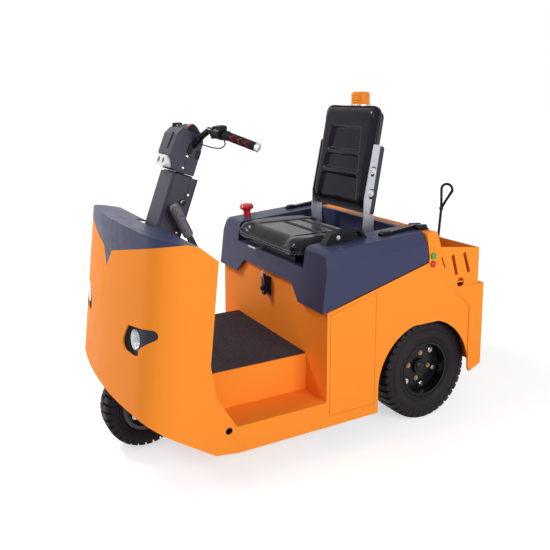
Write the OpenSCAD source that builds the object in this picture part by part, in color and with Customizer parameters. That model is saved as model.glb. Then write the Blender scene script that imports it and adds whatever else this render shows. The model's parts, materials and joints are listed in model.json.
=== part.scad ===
// Electric tow tractor: seated three-wheel tractor with a handlebar, a hinged
// seat hood over the battery, a rear tray and a pin coupling.
// +X is forward, +Y is left, +Z is up; the origin is on the ground, mid-length.

/* [Body] */
// Width over the body side plates
body_w = 880; // [840:10:940]
// Thickness of the painted plates
sheet = 5; // [4:0.5:6]
// Front face of the battery wall, from the middle of the machine
wall_x = 120; // [110:1:132]
// Battery wall to the rear edge of the cowl
foot_room = 455; // [440:5:510]
// Ground to the underside of the sills
sill_z = 110; // [95:1:125]
// Ground to the top of the side steps
step_z = 207; // [190:1:225]
// Ground to the top of the floor plate
floor_z = 349; // [347:1:380]
// Width of the raised floor between the side steps
floor_w = 590; // [560:5:640]
// Thickness of the ribbed floor mat
mat_t = 5; // [3:0.5:8]
// Radius of the hole in each side plate
side_hole_r = 13; // [10:0.5:16]

/* [Cowl] */
// Backward lean of the cowl, in degrees
cowl_lean = 5.7; // [4:0.1:7]
// Radius of the two upright front corners
cowl_corner_r = 120; // [90:5:150]
// Radius of the bowed front
cowl_bow_r = 2060; // [1800:20:2400]
// Height of the cowl's lower front edge
cowl_low_z = 280; // [262:1:292]
// Height of the side panels at the deck's rear edge
deck_z = 853; // [830:1:875]
// Rise of the deck towards the front, per unit of length
deck_slope = 0.233; // [0.18:0.001:0.28]
// Thickness of the moulded cap
cap_t = 6; // [5:0.5:8]
// Depth of the tip of the cap's V below the deck's rear edge
cap_v = 135; // [110:1:160]
// Lamp centres, in from the body sides
lamp_in = 140; // [135:1:150]
// Height of the lamp centres
lamp_z = 530; // [515:1:545]
// Radius of a lamp
lamp_r = 36; // [32:1:36]

/* [Steering] */
// Backward tilt of the steering column, in degrees
column_tilt = 19.3; // [17:0.1:21]
// Width of the column's cover
column_w = 150; // [130:2:160]
// Depth of the column's cover, front to back
column_d = 104; // [92:2:114]
// Length of the column's cover
column_len = 566; // [540:2:600]
// Width of the head that turns on the column
head_w = 130; // [116:2:146]
// Gap between the column and the turning head
head_gap = 8; // [6:0.5:12]
// Radius of the handlebar tube
bar_r = 12; // [10:0.5:14]
// Radius of a grip
grip_r = 16; // [15:0.5:19]
// Length of a grip
grip_len = 126; // [110:2:140]
// Steering shaft radius
stem_r = 16; // [12:1:20]
// Radial clearance of the turning pins
pin_gap = 0.06; // [0.02:0.01:0.1]

/* [Wheels] */
// Rear axle, behind the battery wall
rear_axle = 520; // [512:1:528]
// Rear tyre radius
rear_r = 213; // [207:1:216]
// Rear tyre width
rear_w = 150; // [140:1:154]
// Rear rim radius
rear_rim_r = 122; // [114:1:128]
// Outer face of the rear tyres, inside the side plates
rear_inset = 38; // [30:1:46]
// Front axle, behind the start of the cowl's corners
front_axle = 46; // [40:1:54]
// Front tyre radius
front_r = 158; // [152:1:158]
// Front tyre width
front_w = 104; // [96:1:110]
// Front rim radius
front_rim_r = 92; // [86:1:98]
// Radius of the wheel axles
axle_r = 20; // [16:1:23]
// Radius of the fork's king pin
king_r = 24; // [20:1:28]
// Gap between a fork leg and the front tyre
fork_gap = 10; // [7:1:14]

/* [Rear] */
// Length of the body behind the battery wall
body_len = 776; // [765:1:790]
// Radius of the wheel arches
arch_r = 235; // [228:1:238]
// Height of the flat top of the wheel arches
arch_z = 432; // [426:1:438]
// Height of the hood's top at its rear edge
hood_z = 804; // [800:1:806]
// Fall of the hood's top towards the front, per unit of length
hood_fall = 0.078; // [0.06:0.001:0.09]
// Backward lean of the hood's front, per unit of height
hood_lean = 0.114; // [0.08:0.001:0.13]
// Thickness of the moulded hood
hood_t = 8; // [6:0.5:10]
// Gap around the hood
hood_gap = 6; // [5.5:0.5:8]
// Half width of the recess for the seat
recess_hw = 280; // [274:1:288]
// Height of the recess floor
recess_z = 684; // [676:1:690]
// Height of the hinge beam's top
beam_z = 800; // [792:1:806]
// Height of the tray's floor
tray_z = 580; // [572:1:590]
// Height of the tray's walls at the rear end
tray_top = 712; // [700:1:724]
// Thickness of the rear plate
plate_t = 14; // [10:1:18]
// Depth of the flared plates behind the wheels, at their rear edge
fender_t = 8; // [6:1:12]

/* [Seat] */
// Half width of the cushion
seat_hw = 262; // [254:1:266]
// Length of the cushion
seat_len = 408; // [398:1:412]
// Top of the cushion's middle above the recess floor
seat_top = 70; // [64:1:78]
// Half width of the backrest
back_hw = 194; // [184:1:200]
// Height of the backrest
back_h = 428; // [400:2:450]
// Backward tilt of the backrest, in degrees
back_tilt = 10; // [8:0.1:12]
// Radius of the beacon's lens
beacon_r = 44; // [38:1:47]

/* [Coupling] */
// Coupling pin, behind the battery wall
hitch_x = 915; // [905:1:925]
// Radius of the coupling pin
hitch_r = 12.5; // [10:0.5:14]
// Gap between the coupling's jaws
hitch_gap = 54; // [46:1:64]
// Underside of the upper jaw
hitch_z = 400; // [390:1:410]
// Height of the pull rod's top
rod_top = 918; // [890:1:940]

/* [Hidden] */
$fn = 64;
hw = body_w / 2;
in_y = hw - sheet;
big = 3000;
cowl_x = wall_x + foot_room + 148;
front_x = cowl_x - front_axle;
rear_x = wall_x - rear_axle;
rear_face = wall_x - body_len;
deck_x = wall_x + foot_room + 41;
tyre_out = hw - rear_inset;
tyre_in = tyre_out - rear_w;
corner_y = hw - cowl_corner_r;
lamp_y = hw - lamp_in;
bow_dx = sqrt(pow(cowl_bow_r - cowl_corner_r, 2) - corner_y * corner_y);
tan_dx = bow_dx / (cowl_bow_r - cowl_corner_r);
tan_dy = corner_y / (cowl_bow_r - cowl_corner_r);
crown_z = 2 * front_r + 10;
crown_t = 12;
frame_z = max(crown_z + crown_t + 8, floor_z);
rail_w = 50;
rail_y = min(tyre_in - rail_w - 30, floor_w / 2 - sheet - rail_w - 40);
rail_z = floor_z - sheet - 100;
foot_z = 500;
foot_x = cowl_x - 27;
top_x = foot_x - column_len * sin(column_tilt);
top_z = foot_z + column_len * cos(column_tilt);
hinge_x = wall_x - 470;
hinge_z = beam_z + 13;
hinge_y = hw - 80;
notch_z = recess_z - 72;
wall_top = notch_z + 8;
hood_low_f = 550;
hood_front = wall_x + hood_gap + hood_t + (wall_top - hood_low_f) * hood_lean;
hood_back = wall_x - 476;
hood_low_b = 684;
hood_slope = (hood_low_b - hood_low_f) / (hood_front - hood_back);
crease_f = 709;
crease_b = 755;
back_x = wall_x - 324;
back_z = recess_z + 188;
shell_t = 22;
plate_b = 14;
pad_t = 44;
beacon_x = back_x - (pad_t + plate_b) / cos(back_tilt) - 402 * tan(back_tilt) - beacon_r - 9;
beacon_y = -70;
beacon_z = back_z + 412;
brake_x = -92;
brake_z = -244;
jaw_t = 16;
tow_x = wall_x - hitch_x;

// Height of the hood's lower edge at x
function hood_low(x) = hood_low_f + (hood_front - x) * hood_slope;

// Height of the hood's top at x
function hood_top(x) = hood_z - (x - hood_back - 18) * hood_fall;

// Both sides of the machine
module both() {
  children();
  mirror([0, 1, 0]) children();
}

// Outline in X and Z, from y0 to y1
module side_cut(y0, y1) {
  translate([0, y1, 0]) rotate([90, 0, 0]) linear_extrude(y1 - y0) children();
}

// Outline in Y and Z, from x0 to x1
module front_cut(x0, x1) {
  translate([x0, 0, 0]) rotate([90, 0, 90]) linear_extrude(x1 - x0) children();
}

// Rectangle with round corners
module rounded(x0, y0, x1, y1, r) {
  translate([x0 + r, y0]) square([x1 - x0 - 2 * r, y1 - y0]);
  translate([x0, y0 + r]) square([x1 - x0, y1 - y0 - 2 * r]);
  for (x = [x0 + r, x1 - r]) for (y = [y0 + r, y1 - r]) translate([x, y]) circle(r);
}

// Block from one corner to the other
module block(a, b) {
  translate(a) cube(b - a);
}

// Cylinder along Y
module y_rod(x, z, r, y0, y1) {
  translate([x, y0, z]) rotate([-90, 0, 0]) cylinder(r = r, h = y1 - y0);
}

// Cylinder along X
module x_rod(y, z, r, x0, x1) {
  translate([x0, y, z]) rotate([0, 90, 0]) cylinder(r = r, h = x1 - x0);
}

// Round bar between two points
module bar(a, b, r) {
  d = b - a;
  l = norm(d);
  translate(a) rotate([0, acos(d[2] / l), atan2(d[1], d[0])]) cylinder(r = r, h = l);
}

// Plan of the cowl, inset by t: straight sides, round corners, bowed front
module cowl_plan(t) {
  translate([-330, -hw + t]) square([330, body_w - 2 * t]);
  for (s = [-1, 1]) translate([0, s * corner_y]) circle(cowl_corner_r - t, $fn = 96);
  intersection() {
    translate([-bow_dx, 0]) circle(cowl_bow_r - t, $fn = 360);
    polygon([[-330, -corner_y], [0, -corner_y], [300 * tan_dx, -corner_y - 300 * tan_dy],
      [300 * tan_dx, corner_y + 300 * tan_dy], [0, corner_y], [-330, corner_y]]);
  }
}

// Cowl wall between two insets, leaning back
module cowl_wall(t0, t1) {
  translate([cowl_x, 0, 0]) rotate([0, -cowl_lean, 0]) translate([0, 0, -100])
    linear_extrude(1200) difference() {
      cowl_plan(t0);
      cowl_plan(t1);
      translate([-331, -hw + t1]) square([10, body_w - 2 * t1]);
    }
}

// Space inside the cowl, inset by t
module cowl_inside(t) {
  translate([cowl_x, 0, 0]) rotate([0, -cowl_lean, 0]) translate([0, 0, -100])
    linear_extrude(1200) cowl_plan(t);
}

// Side outline of the cowl: kinked top, leaning rear edge, raked lower edge
module cowl_side() {
  rear = wall_x + foot_room;
  polygon([[rear - 28, deck_z - 56], [deck_x, deck_z],
    [cowl_x + 200, deck_z + deck_slope * (cowl_x + 200 - deck_x)], [cowl_x + 200, cowl_low_z],
    [cowl_x + 90, cowl_low_z], [rear - 8, sill_z + 12], [rear - 95, sill_z], [rear - 95, step_z],
    [rear - 89, step_z], [rear - 13, floor_z - 21], [rear + 6, floor_z + 95]]);
}

// Front outline of the cap, moved down by d
module cap_front(d) {
  z = deck_z - d;
  polygon([[0, z - cap_v], [52, z - 70], [95, z - 61], [hw + 1, z + 11], [hw + 1, z + 300],
    [-hw - 1, z + 300], [-hw - 1, z + 11], [-95, z - 61], [-52, z - 70]]);
}

// Everything under the deck's plane, moved down by d
module under_deck(d) {
  side_cut(-hw - 1, hw + 1) polygon([[deck_x, -500], [cowl_x + 300, -500],
    [cowl_x + 300, deck_z - d + deck_slope * (cowl_x + 300 - deck_x)], [deck_x, deck_z - d]]);
}

// Teardrop outline of a lamp opening, grown by g
module lamp_hole(g) {
  a = 14 + g;
  b = 18 + g;
  c = 31 + g;
  translate([lamp_y, lamp_z]) {
    polygon([[-46 - 0.855 * a, 24 + 0.518 * a], [-46 - 0.128 * a, 24 + 0.992 * a],
      [90 - 0.128 * b, 37.5 + 0.992 * b], [90 + 0.503 * b, 37.5 - 0.864 * b], [48 + 0.5 * g, -12 - 0.86 * g],
      [34 + 0.8 * g, -24 - 0.6 * g], [32 + 1.1 * g, -47 - g], [0, -54 - g],
      [-54 + 0.082 * c, -22 - 0.997 * c], [-54 - 0.855 * c, -22 + 0.518 * c]]);
    translate([-46, 24]) circle(a);
    translate([90, 37.5]) circle(b);
    translate([-54, -22]) circle(c);
  }
}

module floor_pan() {
  color("orangered") difference() {
    front_cut(wall_x, wall_x + foot_room + 48) difference() {
      union() {
        translate([-hw, sill_z]) square([body_w, step_z - sill_z]);
        translate([-floor_w / 2, sill_z]) square([floor_w, floor_z - sill_z]);
      }
      translate([-in_y, sill_z - 1]) square([2 * in_y, step_z - sheet - sill_z + 1]);
      translate([-floor_w / 2 + sheet, sill_z - 1])
        square([floor_w - 2 * sheet, floor_z - sheet - sill_z + 1]);
    }
    both() block([wall_x + foot_room - 95, in_y, 0], [big, big, big]);
  }
}

module floor_mat() {
  color("black") {
    block([wall_x + 2, -floor_w / 2 + 3, floor_z], [wall_x + foot_room + 2, floor_w / 2 - 3, floor_z + mat_t]);
  }
}

module front_cowl() {
  color("orangered") difference() {
    intersection() {
      cowl_wall(0, sheet);
      side_cut(-hw - 1, hw + 1) cowl_side();
    }
    front_cut(deck_x + 40, big) cap_front(0);
    front_cut(cowl_x, big) lamp_hole(0);
    mirror([0, 1, 0]) front_cut(cowl_x, big) lamp_hole(0);
    y_rod(wall_x + foot_room - 58, step_z - 8, side_hole_r, -hw - 1, hw + 1);
  }
}

module cowl_cap() {
  color("slategray") difference() {
    intersection() {
      union() {
        intersection() {
          cowl_wall(0, sheet + cap_t);
          front_cut(deck_x + 40, big) cap_front(0);
        }
        intersection() {
          cowl_wall(sheet, sheet + cap_t);
          front_cut(deck_x + 40, big) cap_front(18);
        }
        difference() {
          cowl_inside(sheet);
          under_deck(cap_t);
        }
      }
      under_deck(0);
    }
    block([0, -column_w / 2 - 18, 0], [deck_x + 40, column_w / 2 + 18, big]);
  }
}

module lamp_plates() {
  color("darkslategray") both() difference() {
    intersection() {
      cowl_wall(sheet, sheet + 4);
      front_cut(cowl_x, big) lamp_hole(14);
    }
    x_rod(lamp_y, lamp_z, lamp_r, cowl_x, big);
  }
}

module headlamps() {
  color("white") both() {
    intersection() {
      x_rod(lamp_y, lamp_z, lamp_r, cowl_x + 20, big);
      cowl_inside(sheet - 1);
    }
    intersection() {
      x_rod(lamp_y, lamp_z, lamp_r + 6, cowl_x + 20, big);
      cowl_inside(sheet + 4);
    }
  }
}

module bulkhead() {
  rear = wall_x + foot_room;
  color("orangered") difference() {
    intersection() {
      translate([cowl_x, 0, 0]) rotate([0, -cowl_lean, 0])
        block([-85, -in_y, 0], [-80, in_y, 900]);
      block([0, -in_y, step_z], [big, in_y, floor_z + 290]);
    }
    block([0, -floor_w / 2, 0], [big, floor_w / 2, floor_z]);
  }
}

module front_frame() {
  c = cos(column_tilt);
  s = sin(column_tilt);
  h = column_d / 2;
  color("dimgray") difference() {
    union() {
      intersection() {
        block([front_x - 52, -in_y, frame_z], [front_x + 95, in_y, frame_z + 10]);
        cowl_inside(sheet);
      }
      translate([front_x, 0, crown_z + crown_t + 1]) cylinder(r = king_r + 16, h = 120);
      side_cut(-column_w / 2, column_w / 2) polygon([[front_x - 42, frame_z + 5],
        [front_x + 80, frame_z + 5], [foot_x + h * c + 0.01 * s, foot_z + h * s - 0.01 * c],
        [foot_x - h * c + 0.01 * s, foot_z - h * s - 0.01 * c]]);
      both() block([front_x - 52, rail_y, frame_z - 30], [front_x + 95, rail_y + 12, frame_z + 5]);
    }
    translate([front_x, 0, 0]) cylinder(r = king_r + pin_gap, h = crown_z + crown_t + 104);
  }
}

// Frame of the tilted column: origin at its upper end
module on_column() {
  translate([top_x, 0, top_z]) rotate([0, -column_tilt, 0]) children();
}

module steering_column() {
  color("darkslategray") on_column() difference() {
    union() {
      translate([0, 0, -column_len]) linear_extrude(column_len)
        rounded(-column_d / 2, -column_w / 2, column_d / 2, column_w / 2, 14);
      y_rod(-22, -66, 10, column_w / 2 - 1, column_w / 2 + 5);
    }
    translate([0, 0, -90]) cylinder(r = stem_r + pin_gap, h = 100);
  }
}

module brake_lever() {
  y = column_w / 2;
  color("black") on_column() {
    side_cut(y, y + 10) polygon([[-10, brake_z - 26], [-10, brake_z + 12], [brake_x, brake_z + 14],
      [brake_x - 14, brake_z + 4], [brake_x - 10, brake_z - 14], [-46, brake_z - 26]]);
    y_rod(brake_x, brake_z, 10, y + 4, y + 62);
    translate([brake_x, y + 56, brake_z]) rotate([0, 45, 0]) block([-11, -6, -14], [11, 6, 54]);
  }
}

module brake_grip() {
  color("dimgray") on_column() translate([brake_x, column_w / 2 + 56, brake_z]) rotate([0, 45, 0])
    translate([0, 0, 54]) rotate_extrude() polygon([[0, 0], [15, 0], [19, 6], [19, 122], [14, 132], [0, 132]]);
}

module underframe() {
  color("black") {
    both() block([rear_face + plate_t, rail_y, rail_z],
      [wall_x + foot_room - 95, rail_y + rail_w, floor_z - sheet]);
    block([wall_x - 215, -in_y, sill_z], [wall_x - sheet, in_y, sill_z + 6]);
    for (x = [wall_x - 60, wall_x - 180, rear_face + plate_t + 60])
      block([x - 30, -rail_y, rail_z + 20], [x, rail_y, floor_z - sheet - 20]);
    both() block([wall_x - 60, rail_y, sill_z + 6], [wall_x - 30, rail_y + rail_w, rail_z]);
  }
}

module battery() {
  y = tyre_in - 18;
  color("dimgray") block([wall_x - 400, -y, floor_z - sheet], [wall_x - 40, y, floor_z + 236]);
}

module battery_wall() {
  color("orangered") difference() {
    block([wall_x - sheet, -in_y, sill_z], [wall_x, in_y, wall_top]);
    both() block([0, hw - hood_t - hood_gap, hood_low(wall_x) - hood_gap], [big, hw, big]);
    both() block([0, rail_y, rail_z], [big, rail_y + rail_w, floor_z - sheet]);
  }
}

// Round wheel arch with a flat top
module arch() {
  intersection() {
    translate([wall_x - 475, 206]) circle(arch_r, $fn = 128);
    translate([wall_x - 800, 0]) square([800, arch_z]);
  }
  translate([wall_x - 475 - arch_r, 0]) square([2 * arch_r, 206]);
}

// Side outline of the rear body: hood line, hinge hump, tray wall, tail
module rear_side() {
  g = hood_gap;
  polygon([[wall_x, sill_z], [wall_x, hood_low(wall_x) - g], [hood_back, hood_low_b - g],
    [hood_back - g - 1, hood_low_b - g], [wall_x - 465, beam_z], [wall_x - 517, beam_z],
    [wall_x - 539, tray_top + 24], [rear_face + 26, tray_top], [rear_face + 26, tray_z - 19],
    [rear_face + plate_t, tray_z - 19], [rear_face + plate_t, 200], [rear_face + 59, 182],
    [wall_x - 475 - arch_r + 4, 206], [wall_x - 240, sill_z]]);
}

// Removable cover in a side panel, inset by g
module cover(g) {
  polygon([[wall_x - 14 - g, sill_z + 42 + g], [wall_x - 14 - g, hood_low(wall_x - 14) - 18 - g],
    [wall_x - 222 + g, hood_low(wall_x - 222) - 18 - g], [wall_x - 222 + g, sill_z + 42 + g]]);
}

// x, z of the top, x, z of the bottom, width of each slot in the tray's sides
slots = [[-544, -18, -564, -64, 7], [-603, -16, -629, -102, 15], [-666, -13, -696, -99, 15]];

module side_panel() {
  difference() {
    side_cut(in_y, hw) difference() {
      rear_side();
      arch();
      cover(0);
      translate([wall_x - 652, tray_z - 3]) circle(19);
      for (s = slots) translate([wall_x + s[0], tray_top + s[1]])
        rotate(atan2(s[3] - s[1], s[2] - s[0])) translate([0, -s[4] / 2])
          square([norm([s[2] - s[0], s[3] - s[1]]), s[4]]);
    }
  }
  side_cut(in_y - 4, in_y) difference() {
    cover(-10);
    cover(16);
    translate([wall_x - sheet, 0]) square([100, 1000]);
  }
}

module side_panels() {
  color("orangered") both() side_panel();
}

module side_covers() {
  color("orangered") both() side_cut(in_y, hw) cover(1.5);
}

module fender_plates() {
  flare = atan2(fender_t - 1, body_len - 610);
  color("orangered") both() difference() {
    side_cut(hw, hw + fender_t) polygon([[wall_x - 610, tray_z - 19], [rear_face, tray_z - 19],
      [rear_face, 209], [rear_face + 59, 182], [wall_x - 475 - arch_r + 4, 206],
      [wall_x - 475 - arch_r + 4, 270], [wall_x - 704, 470]]);
    translate([wall_x - 610, hw + 1, 0]) rotate(180 - flare) block([-100, -100, 0], [400, 0, 1000]);
  }
}

module hinge_beam() {
  color("orangered") side_cut(-in_y, in_y) difference() {
    polygon([[hood_back - hood_gap - 1, hood_low_b - hood_gap], [wall_x - 465, beam_z],
      [wall_x - 517, beam_z], [wall_x - 539, tray_top + 24], [wall_x - 539, tray_z - sheet],
      [hood_back - hood_gap - 1, tray_z - sheet]]);
    translate([wall_x - 531, tray_z - sheet - 1]) square([38, tray_top - tray_z]);
  }
}

module rear_tray() {
  color("orangered") {
    block([rear_face + 26, -in_y, tray_z - sheet], [wall_x - 539, in_y, tray_z]);
    block([rear_face + 26, -in_y, tray_z], [rear_face + 26 + sheet, in_y, tray_top]);
    block([rear_face + plate_t, -in_y, tray_z - 19 - sheet], [rear_face + 26, in_y, tray_z - 19]);
    block([rear_face + 26 - sheet, -in_y, tray_z - 19], [rear_face + 26, in_y, tray_z]);
  }
}

module rear_plate() {
  color("orangered") {
    block([rear_face, -hw, 209], [rear_face + plate_t, hw, tray_z - 19]);
    block([rear_face - 10, -hw + 4, 209], [rear_face, hw - 4, 430]);
  }
}

module jaw(z) {
  difference() {
    union() {
      block([tow_x, -48, z], [rear_face - 20, 48, z + jaw_t]);
      translate([tow_x, 0, z]) cylinder(r = 48, h = jaw_t);
    }
    translate([tow_x, 0, z - 1]) cylinder(r = hitch_r + pin_gap, h = jaw_t + 2);
  }
}

module tow_bracket() {
  color("black") {
    block([rear_face - 24, -75, 240], [rear_face - 10, 75, hitch_z + 70]);
    jaw(hitch_z);
    jaw(hitch_z - hitch_gap - jaw_t);
    both() side_cut(36, 48) polygon([[rear_face - 20, hitch_z + jaw_t - 1], [rear_face - 20, hitch_z + 66],
      [tow_x + 50, hitch_z + jaw_t - 1]]);
    both() side_cut(36, 48) polygon([[rear_face - 20, hitch_z - hitch_gap - jaw_t + 1], [rear_face - 20, 250],
      [tow_x + 50, hitch_z - hitch_gap - jaw_t + 1]]);
  }
}

module switch_plate() {
  color("orangered") side_cut(hw, hw + 2) rounded(wall_x - 514, tray_top - 58, wall_x - 478, tray_top + 12, 17);
}

module green_button() {
  color("green") y_rod(wall_x - 496, tray_top - 6, 13, hw + 2, hw + fender_t - 1);
}

module red_button() {
  color("red") y_rod(wall_x - 496, tray_top - 39, 13, hw + 2, hw + fender_t - 1);
}

module drive_axle() {
  color("dimgray") {
    y_rod(rear_x, rear_r, 30, -tyre_in + 14, tyre_in - 14);
    both() y_rod(rear_x, rear_r, axle_r, tyre_in - 20, tyre_out - rear_w / 2 + 4);
    y_rod(rear_x, rear_r, 88, -60, 80);
    translate([rear_x + 40, 0, rear_r + 16]) rotate([0, 90, 0]) cylinder(r = 74, h = 250);
    both() block([rear_x - 34, rail_y, rear_r], [rear_x + 34, rail_y + rail_w, rail_z]);
  }
}

module hood_latch() {
  color("black") {
    block([wall_x, -17, 504], [wall_x + 8, 17, 584]);
    side_cut(-12, 12) polygon([[wall_x + 8, 512], [wall_x + 20, 530], [wall_x + 16, 584], [wall_x + 8, 584]]);
  }
}

module hinge_blocks() {
  color("black") both() translate([0, hinge_y, 0]) {
    block([hinge_x - 50, -26, beam_z], [hinge_x - 12, 26, beam_z + 6]);
    for (y = [-24, 12]) difference() {
      union() {
        y_rod(hinge_x, hinge_z, 11, y, y + 12);
        side_cut(y, y + 12) polygon([[hinge_x - 12, beam_z], [hinge_x - 48, beam_z],
          [hinge_x - 40, hinge_z + 8], [hinge_x, hinge_z + 11], [hinge_x, hinge_z - 11]]);
      }
    }
    y_rod(hinge_x, hinge_z, 5, -20, 20);
  }
}

module hinge_arms() {
  x = hinge_x;
  color("black") both() translate([0, hinge_y, 0]) difference() {
    union() {
      y_rod(x, hinge_z, 10, -11, 11);
      side_cut(-11, 11) polygon([[x + 170, hood_top(x + 170)], [x + 170, hood_top(x + 170) + 8],
        [x + 120, hood_top(x + 120) + 12], [x, hinge_z + 10], [x + 6, hinge_z - 6],
        [x + 30, hood_top(x + 30) + 2], [x + 60, hood_top(x + 60)]]);
      side_cut(-16, 16) polygon([[x + 140, hood_top(x + 140)], [x + 174, hood_top(x + 174)],
        [x + 174, hood_top(x + 174) + 9], [x + 140, hood_top(x + 140) + 9]]);
    }
    y_rod(x, hinge_z, 5 + pin_gap, -30, 30);
  }
}

// Outside of the hood, inset by t: leaning front, falling top, round front edge
module hood_form(t) {
  lean = atan(hood_lean);
  fall = atan(hood_fall);
  r = 26 - t;
  f = hood_front - t / cos(lean);
  b = hood_back + t;
  z = hood_z - t / cos(fall);
  low = hood_low_f - 5 * t;
  // Corner of the two lines, then the centre of the round edge inside it
  cx = (f + hood_lean * (hood_low_f - z - (hood_back + 18) * hood_fall)) / (1 - hood_lean * hood_fall);
  cz = z - (cx - hood_back - 18) * hood_fall;
  ox = cx - r * (cos(fall) - sin(lean)) / cos(lean + fall);
  oz = cz - r * (cos(lean) - sin(fall)) / cos(lean + fall);
  difference() {
    side_cut(-hw + t, hw - t) {
      polygon([[f - (low - hood_low_f) * hood_lean, low], [ox + r * cos(lean), oz + r * sin(lean)], [ox, oz],
        [ox + r * sin(fall), oz + r * cos(fall)], [b + 18, z - t * hood_fall], [b, hood_low_b - 5 * t]]);
      translate([ox, oz]) circle(r);
    }
    both() shoulder_bevel(t);
  }
}

// Plane that bevels a shoulder above the slanting crease
module shoulder_bevel(t) {
  rise = atan2(crease_b - crease_f, 468);
  translate([wall_x, hw, crease_f]) rotate([0, rise, 0]) rotate([25.7, 0, 0])
    translate([-big, -t, -600]) cube([2 * big, 500, 1200]);
}

module hood_shell() {
  color("slategray") difference() {
    hood_form(0);
    block([wall_x - 440, -recess_hw, recess_z], [big, recess_hw, big]);
    difference() {
      hood_form(hood_t);
      block([wall_x - 440 - hood_t, -recess_hw - hood_t, recess_z - hood_t], [big, recess_hw + hood_t, big]);
    }
    front_cut(wall_x - 20, big) polygon([[-204, notch_z], [204, notch_z], [269, hood_low_f - 2], [269, 300],
      [-269, 300], [-269, hood_low_f - 2]]);
  }
}

module seat_base() {
  color("black") block([wall_x - 400, -back_hw, recess_z], [wall_x - 10, back_hw, recess_z + 22]);
}

// Contoured cushion: low middle, raised bolsters, tucked lower sides
module seat_cushion() {
  w = seat_hw;
  x0 = wall_x + 26 - seat_len;
  x1 = wall_x + 26;
  top = recess_z + seat_top;
  color("black") intersection() {
    translate([0, 0, recess_z]) linear_extrude(200) {
      rounded(wall_x - 326, -w, x1, w, 50);
      rounded(x0, 8 - back_hw, wall_x - 200, back_hw - 8, 40);
    }
    front_cut(x0, x1) polygon([[-190, recess_z + 22], [190, recess_z + 22], [w, top - 28], [w, top + 18],
      [w - 20, top + 32], [w - 70, top + 28], [w - 118, top], [118 - w, top], [70 - w, top + 28],
      [20 - w, top + 32], [-w, top + 18], [-w, top - 28]]);
    side_cut(-w, w) {
      polygon([[x1, recess_z + 22], [x1, top + 4], [x1 - 30, top + 34], [x0, top + 40], [x0, recess_z + 22]]);
      translate([x1 - 30, top + 4]) circle(30);
    }
  }
}

// Frame of the backrest: origin at its lower front edge
module on_back() {
  translate([back_x, 0, back_z]) rotate([0, -back_tilt, 0]) children();
}

module seat_back() {
  color("black") on_back() front_cut(-pad_t, 0) rounded(-back_hw, 0, back_hw, back_h, 46);
}

// Plate behind the pad and the deeper box between the brackets
module back_shell() {
  color("dimgray") on_back() {
    front_cut(-pad_t - plate_b, -pad_t) rounded(-back_hw + 20, 0, back_hw - 20, back_h - 20, 30);
    front_cut(-pad_t - shell_t, -pad_t) rounded(-back_hw - 6, -20, back_hw + 6, 266, 12);
  }
}

module seat_brackets() {
  x = wall_x;
  z = recess_z;
  color("silver") both() difference() {
    side_cut(back_hw, back_hw + 6) polygon([[x - 342, z], [x - 396, z], [x - 386, z + 108], [x - 388, z + 204],
      [x - 424, z + 445], [x - 382, z + 450], [x - 337, z + 222], [x - 334, z + 108]]);
    for (p = [[-389, 352], [-372, 262]]) y_rod(x + p[0], z + p[1], 5, back_hw + 2, hw);
    on_back() block([-pad_t - 100, 0, -20], [-pad_t, hw, 266]);
  }
}

// Side guards on the hood's shoulders, with an open handle at the rear
module hip_guard() {
  a = wall_x - 54;
  b = wall_x - 250;
  z = hood_top(wall_x - 120);
  color("black") side_cut(recess_hw + 20, recess_hw + 56) difference() {
    polygon([[a, hood_top(a)], [a - 28, z + 38], [a - 70, z + 46], [a - 136, z + 47], [a - 164, z + 46],
      [b, hood_top(b)]]);
    polygon([[a - 136, z + 37], [a - 158, z + 37], [a - 176, z + 17], [a - 144, z + 17]]);
    translate([a - 60, z + 21]) circle(7);
  }
}

module seat_lever() {
  z = recess_z + 10;
  color("silver") {
    bar([wall_x - 10, -60, z], [wall_x + 34, -60, z], 4);
    translate([wall_x + 34, -60, z]) sphere(4);
    bar([wall_x + 34, -60, z], [wall_x + 34, -120, z], 4);
  }
}

module beacon_base() {
  x = beacon_x;
  y = beacon_y;
  z = beacon_z;
  color("black") {
    translate([x, y, z - 16]) cylinder(r = beacon_r + 3, h = 16);
    translate([x, y, z - 62]) cylinder(r = 14, h = 50);
    intersection() {
      block([x, y - 14, z - 62], [big, y + 14, z - 36]);
      on_back() block([-300, -300, -100], [-pad_t - plate_b, 300, 800]);
    }
  }
}

module beacon_lens() {
  r = beacon_r;
  color("orange") translate([beacon_x, beacon_y, beacon_z]) rotate_extrude()
    polygon([[0, 0], [r, 0], [r, 50], [r - 5, 61], [r - 14, 66], [0, 66]]);
}

module stop_button() {
  x = wall_x - 87;
  color("red") translate([x, 68 - hw, hood_top(x)]) rotate([0, atan(hood_fall), 0]) rotate_extrude()
    polygon([[0, 0], [18, 0], [17, 25], [32, 35], [34, 45], [26, 56], [0, 59]]);
}

module control_head() {
  g = head_gap;
  color("darkslategray") on_column() difference() {
    union() {
      side_cut(-head_w / 2, head_w / 2) polygon([[46, g], [-30, g], [-30, 100], [-28, 142], [2, 162],
        [66, 168], [82, 140], [84, 62], [58, g + 8]]);
      translate([0, 0, -80]) cylinder(r = stem_r, h = 120);
    }
    both() bar([5, 40, 100], [2, 110, 160], bar_r);
    translate([0, 0, -1]) front_cut(58, 90) trim_outline(0);
  }
}

// Front outline of the pale trim, inset by t
module trim_outline(t) {
  rounded(-52 + t, 14 + t, 52 - t, 56 - t, 16);
}

module head_trim() {
  color("whitesmoke") on_column() difference() {
    translate([0, 0, -1]) front_cut(58, 88) trim_outline(0);
    for (y = [-24, 24]) x_rod(y, 34, 11, 80, 100);
  }
}

bend = [[5, 40, 100], [2, 110, 160], [1, 150, 183], [-24, 240, 178]];
grip_dir = [-0.6, 0.79, -0.1] / norm([-0.6, 0.79, -0.1]);

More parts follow.
